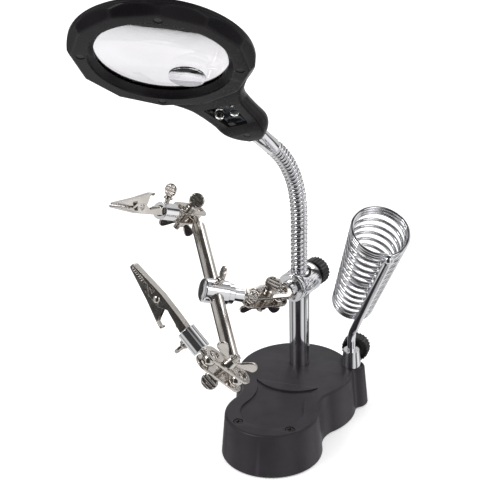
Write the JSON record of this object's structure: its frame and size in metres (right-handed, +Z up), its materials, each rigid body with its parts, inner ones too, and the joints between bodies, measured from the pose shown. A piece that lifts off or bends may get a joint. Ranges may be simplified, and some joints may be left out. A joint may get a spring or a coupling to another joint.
{
  "type": "helping hands clamp",
  "caption": "Helping hands with a weighted base, jointed rod with two spring clips, gooseneck magnifier with lamps and a coil iron holder.",
  "frame": {"origin": "underside of the base, on the post's axis", "axes": "+Z up along the post, -Y towards the base's front lobe, +X towards the iron holder's ear"},
  "size_m": [0.1562, 0.1572, 0.2691],
  "materials": {
    "charcoal": "satin",
    "black_nylon": "satin",
    "chrome": "polished",
    "nickel": "polished nickel plate",
    "cast_iron": "rough cast",
    "foam": "matte",
    "cell": "satin",
    "steel": "satin",
    "clear": "polished",
    "led": "clear epoxy",
    "board": "gloss"
  },
  "bodies": {
    "base": {"base_shell": "charcoal", "deck_screws": "black_nylon", "base_weight": "cast_iron", "bottom_plate": "black_nylon", "anti_slip_pad": "foam", "battery_cells": "cell", "post_tube": "chrome", "post_bolt": "steel", "iron_collar": "chrome", "gooseneck_ferrule": "chrome"},
    "bush": {"clamp_bush": "black_nylon"},
    "post_clamp": {"clamp_barrel": "chrome"},
    "clamp_knob": {"clamp_knob": "black_nylon"},
    "centre_stud_post": {"centre_stud_post": "nickel"},
    "centre_plates": {"centre_plates": "nickel"},
    "centre_wing_screw": {"centre_wing_screw": "nickel"},
    "centre_wing_nut": {"centre_wing_nut": "nickel"},
    "centre_stud_rod": {"centre_stud_rod": "nickel"},
    "rod_barrel": {"rod_barrel": "chrome"},
    "rod_thumb_screw": {"rod_thumb_screw": "nickel"},
    "cross_rod": {"cross_rod": "nickel"},
    "upper_stud_rod": {"upper_stud_rod": "nickel"},
    "upper_plates": {"upper_plates": "nickel"},
    "upper_wing_screw": {"upper_wing_screw": "nickel"},
    "upper_wing_nut": {"upper_wing_nut": "nickel"},
    "upper_clip_holder": {"upper_stud_clip": "nickel", "upper_clip_barrel": "chrome"},
    "upper_clip_screw": {"upper_clip_screw": "nickel"},
    "upper_clip": {"upper_fixed_jaw": "nickel", "upper_clip_rivet": "nickel", "upper_clip_spring": "nickel"},
    "upper_moving_jaw": {"upper_moving_jaw": "nickel"},
    "lower_stud_rod": {"lower_stud_rod": "nickel"},
    "lower_plates": {"lower_plates": "nickel"},
    "lower_wing_screw": {"lower_wing_screw": "nickel"},
    "lower_wing_nut": {"lower_wing_nut": "nickel"},
    "lower_clip_holder": {"lower_stud_clip": "nickel", "lower_clip_barrel": "chrome"},
    "lower_clip_screw": {"lower_clip_screw": "nickel"},
    "lower_clip": {"lower_fixed_jaw": "nickel", "lower_clip_rivet": "nickel", "lower_clip_spring": "nickel"},
    "lower_moving_jaw": {"lower_moving_jaw": "nickel"},
    "iron_holder": {"iron_rod": "chrome", "iron_coil": "chrome"},
    "iron_knob": {"iron_knob": "black_nylon"},
    "neck_1": {"gooseneck_link_1": "chrome"},
    "neck_2": {"gooseneck_link_2": "chrome"},
    "neck_3": {"gooseneck_link_3": "chrome"},
    "neck_4": {"gooseneck_link_4": "chrome"},
    "neck_5": {"gooseneck_link_5": "chrome"},
    "end_tube": {"end_tube": "chrome"},
    "head": {"head_lower_shell": "charcoal", "head_upper_shell": "charcoal", "lens": "clear", "insert_lens": "clear", "head_screws": "black_nylon", "leds": "led", "led_board": "board"},
    "switch": {"slide_switch": "black_nylon"}
  },
  "joints": [
    {"name": "clamp_height", "type": "slide", "parent": "base", "child": "bush", "axis": [0, 0, 1], "range_m": [-0.03, 0]},
    {"name": "clamp_swivel", "type": "hinge", "parent": "bush", "child": "post_clamp", "pos_m": [0, 0, 0.0785], "axis": [0, 0, 1], "range_deg": [-20, 30]},
    {"name": "clamp_knob_turn", "type": "hinge", "parent": "post_clamp", "child": "clamp_knob", "pos_m": [0, 0, 0.0785], "axis": [0.2924, 0.9563, 0], "continuous": true},
    {"name": "centre_post_twist", "type": "hinge", "parent": "post_clamp", "child": "centre_stud_post", "pos_m": [-0.00585, -0.01913, 0.0785], "axis": [-0.2924, -0.9563, 0], "range_deg": [-35, 60]},
    {"name": "centre_plates_swing", "type": "hinge", "parent": "centre_stud_post", "child": "centre_plates", "pos_m": [-0.00585, -0.01913, 0.0785], "axis": [0.4416, -0.135, 0.887], "range_deg": [-40, 60]},
    {"name": "centre_wing_screw_turn", "type": "hinge", "parent": "centre_plates", "child": "centre_wing_screw", "pos_m": [-0.01182, -0.02627, 0.08039], "axis": [0.4416, -0.135, 0.887], "continuous": true},
    {"name": "centre_wing_nut_turn", "type": "hinge", "parent": "centre_plates", "child": "centre_wing_nut", "pos_m": [-0.01182, -0.02627, 0.08039], "axis": [0.4416, -0.135, 0.887], "continuous": true},
    {"name": "centre_rod_swing", "type": "hinge", "parent": "centre_plates", "child": "centre_stud_rod", "pos_m": [-0.0178, -0.0334, 0.08228], "axis": [-0.4416, 0.135, -0.887], "range_deg": [-60, 60]},
    {"name": "rod_barrel_twist", "type": "hinge", "parent": "centre_stud_rod", "child": "rod_barrel", "pos_m": [-0.0178, -0.0334, 0.08228], "axis": [0.781, 0.5444, -0.306], "range_deg": [-60, 60]},
    {"name": "rod_thumb_screw_turn", "type": "hinge", "parent": "rod_barrel", "child": "rod_thumb_screw", "pos_m": [-0.03576, -0.04593, 0.08931], "axis": [0.4179, -0.0915, 0.9039], "continuous": true},
    {"name": "rod_slide", "type": "slide", "parent": "rod_barrel", "child": "cross_rod", "axis": [0.4641, -0.8338, -0.2989], "range_m": [-0.025, 0.025]},
    {"name": "upper_rod_twist", "type": "hinge", "parent": "cross_rod", "child": "upper_stud_rod", "pos_m": [-0.06755, 0.01119, 0.10979], "axis": [0.4641, -0.8338, -0.2989], "range_deg": [-60, 90]},
    {"name": "upper_plates_swing", "type": "hinge", "parent": "upper_stud_rod", "child": "upper_plates", "pos_m": [-0.06755, 0.01119, 0.10979], "axis": [-0.5832, -0.1988, -0.7876], "range_deg": [-5, 50]},
    {"name": "upper_wing_screw_turn", "type": "hinge", "parent": "upper_plates", "child": "upper_wing_screw", "pos_m": [-0.06947, 0.00261, 0.11338], "axis": [-0.5832, -0.1988, -0.7876], "continuous": true},
    {"name": "upper_wing_nut_turn", "type": "hinge", "parent": "upper_plates", "child": "upper_wing_nut", "pos_m": [-0.06947, 0.00261, 0.11338], "axis": [-0.5832, -0.1988, -0.7876], "continuous": true},
    {"name": "upper_clip_swing", "type": "hinge", "parent": "upper_plates", "child": "upper_clip_holder", "pos_m": [-0.07138, -0.00598, 0.11696], "axis": [0.5832, 0.1988, 0.7876], "range_deg": [-50, 50]},
    {"name": "upper_clip_screw_turn", "type": "hinge", "parent": "upper_clip_holder", "child": "upper_clip_screw", "pos_m": [-0.07483, -0.01892, 0.12278], "axis": [0.2332, 0.3463, 0.9087], "continuous": true},
    {"name": "upper_clip_twist", "type": "hinge", "parent": "upper_clip_holder", "child": "upper_clip", "pos_m": [-0.07138, -0.00598, 0.11696], "axis": [-0.2358, -0.8864, 0.3983], "range_deg": [-90, 90]},
    {"name": "upper_jaw", "type": "hinge", "parent": "upper_clip", "child": "upper_moving_jaw", "pos_m": [-0.08094, -0.04163, 0.13364], "axis": [-0.9716, 0.207, -0.1144], "range_deg": [0, 22], "stiffness_Nm_per_rad": 0.05, "springref_deg": -8.59},
    {"name": "lower_rod_twist", "type": "hinge", "parent": "cross_rod", "child": "lower_stud_rod", "pos_m": [-0.0049, -0.10138, 0.06943], "axis": [-0.4641, 0.8338, 0.2989], "range_deg": [-90, 90]},
    {"name": "lower_plates_swing", "type": "hinge", "parent": "lower_stud_rod", "child": "lower_plates", "pos_m": [-0.0049, -0.10138, 0.06943], "axis": [0.6898, 0.1285, 0.7125], "range_deg": [-30, 40]},
    {"name": "lower_wing_screw_turn", "type": "hinge", "parent": "lower_plates", "child": "lower_wing_screw", "pos_m": [-0.01109, -0.10441, 0.07597], "axis": [0.6898, 0.1285, 0.7125], "continuous": true},
    {"name": "lower_wing_nut_turn", "type": "hinge", "parent": "lower_plates", "child": "lower_wing_nut", "pos_m": [-0.01109, -0.10441, 0.07597], "axis": [0.6898, 0.1285, 0.7125], "continuous": true},
    {"name": "lower_clip_swing", "type": "hinge", "parent": "lower_plates", "child": "lower_clip_holder", "pos_m": [-0.01728, -0.10744, 0.08251], "axis": [-0.6898, -0.1285, -0.7125], "range_deg": [-50, 30]},
    {"name": "lower_clip_screw_turn", "type": "hinge", "parent": "lower_clip_holder", "child": "lower_clip_screw", "pos_m": [-0.0278, -0.10425, 0.09212], "axis": [-0.5952, 0.2924, -0.7485], "continuous": true},
    {"name": "lower_clip_twist", "type": "hinge", "parent": "lower_clip_holder", "child": "lower_clip", "pos_m": [-0.01728, -0.10744, 0.08251], "axis": [-0.7205, 0.2184, 0.6582], "range_deg": [-90, 90]},
    {"name": "lower_jaw", "type": "hinge", "parent": "lower_clip", "child": "lower_moving_jaw", "pos_m": [-0.04688, -0.09872, 0.10876], "axis": [-0.0107, -0.9525, 0.3044], "range_deg": [0, 22], "stiffness_Nm_per_rad": 0.05, "springref_deg": -8.59},
    {"name": "iron_swivel", "type": "hinge", "parent": "base", "child": "iron_holder", "pos_m": [0.0305, 0.0052, 0], "axis": [0, 0, 1], "range_deg": [-20, 60]},
    {"name": "iron_knob_turn", "type": "hinge", "parent": "base", "child": "iron_knob", "pos_m": [0.0305, 0.0052, 0.0311], "axis": [0, 1, 0], "continuous": true},
    {"name": "neck_bend_1", "type": "hinge", "parent": "base", "child": "neck_1", "pos_m": [0, 0, 0.089], "axis": [0.9259, -0.3778, 0], "range_deg": [-7, 7]},
    {"name": "neck_sway_2", "type": "hinge", "parent": "neck_1", "child": "neck_2", "pos_m": [0, 0, 0.10582], "axis": [0.3778, 0.9259, 0], "range_deg": [-7, 7]},
    {"name": "neck_bend_3", "type": "hinge", "parent": "neck_2", "child": "neck_3", "pos_m": [-0.00001, -0.00001, 0.12264], "axis": [0.9259, -0.3778, 0], "range_deg": [-7, 7]},
    {"name": "neck_sway_4", "type": "hinge", "parent": "neck_3", "child": "neck_4", "pos_m": [-0.00104, -0.00255, 0.13917], "axis": [0.3728, 0.9134, 0.1635], "range_deg": [-7, 7]},
    {"name": "neck_bend_5", "type": "hinge", "parent": "neck_4", "child": "neck_5", "pos_m": [-0.00378, -0.00927, 0.15429], "axis": [0.9259, -0.3778, 0], "range_deg": [-7, 7]},
    {"name": "neck_sway_6", "type": "hinge", "parent": "neck_5", "child": "end_tube", "pos_m": [-0.00801, -0.01963, 0.16676], "axis": [0.2813, 0.6893, 0.6676], "range_deg": [-7, 7]},
    {"name": "head_turn", "type": "hinge", "parent": "end_tube", "child": "head", "pos_m": [-0.01389, -0.03403, 0.17981], "axis": [-0.2894, -0.7093, 0.6428], "range_deg": [-45, 45]},
    {"name": "led_switch", "type": "slide", "parent": "head", "child": "switch", "axis": [0.948, -0.1195, 0.295], "range_m": [0, 0.0035]}
  ],
  "couplings": [
    {"joint": "neck_bend_3", "follows": "neck_bend_1", "ratio": 1},
    {"joint": "neck_bend_5", "follows": "neck_bend_1", "ratio": 1},
    {"joint": "neck_sway_4", "follows": "neck_sway_2", "ratio": 1},
    {"joint": "neck_sway_6", "follows": "neck_sway_2", "ratio": 1}
  ]
}
